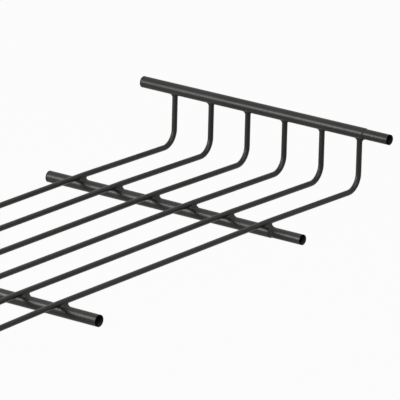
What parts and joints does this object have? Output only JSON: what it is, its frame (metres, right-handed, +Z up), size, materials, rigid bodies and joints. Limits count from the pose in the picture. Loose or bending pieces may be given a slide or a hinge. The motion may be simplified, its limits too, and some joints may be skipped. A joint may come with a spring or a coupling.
{
  "type": "cable tray",
  "caption": "Open wire cable tray module: bent rods welded onto cross tubes and capped by tube rails, with plug-in spigots and open tube sockets at the ends.",
  "frame": {"origin": "under the middle of the tray, on the plane that the two cross tubes rest on", "axes": "+X along the rods, from the left side wall to the right one; +Y along the tubes, towards the back; +Z up"},
  "size_m": [0.7028, 0.348, 0.0828],
  "materials": {
    "rod_coat": "satin black-brown powder coat on round steel wire",
    "tube_coat": "satin black-brown powder coat on steel tube",
    "weld_coat": "powder coat over weld beads"
  },
  "bodies": {
    "root": {"rod_1": "rod_coat", "rod_2": "rod_coat", "rod_3": "rod_coat", "rod_4": "rod_coat", "rod_5": "rod_coat", "rod_6": "rod_coat", "rail_right": "tube_coat", "spigot_rail_right": "tube_coat", "welds_rail_right": "weld_coat", "rail_left": "tube_coat", "spigot_rail_left": "tube_coat", "welds_rail_left": "weld_coat", "cross_tube_right": "tube_coat", "spigot_cross_tube_right": "tube_coat", "welds_cross_tube_right": "weld_coat", "cross_tube_left": "tube_coat", "spigot_cross_tube_left": "tube_coat", "welds_cross_tube_left": "weld_coat"}
  },
  "joints": []
}
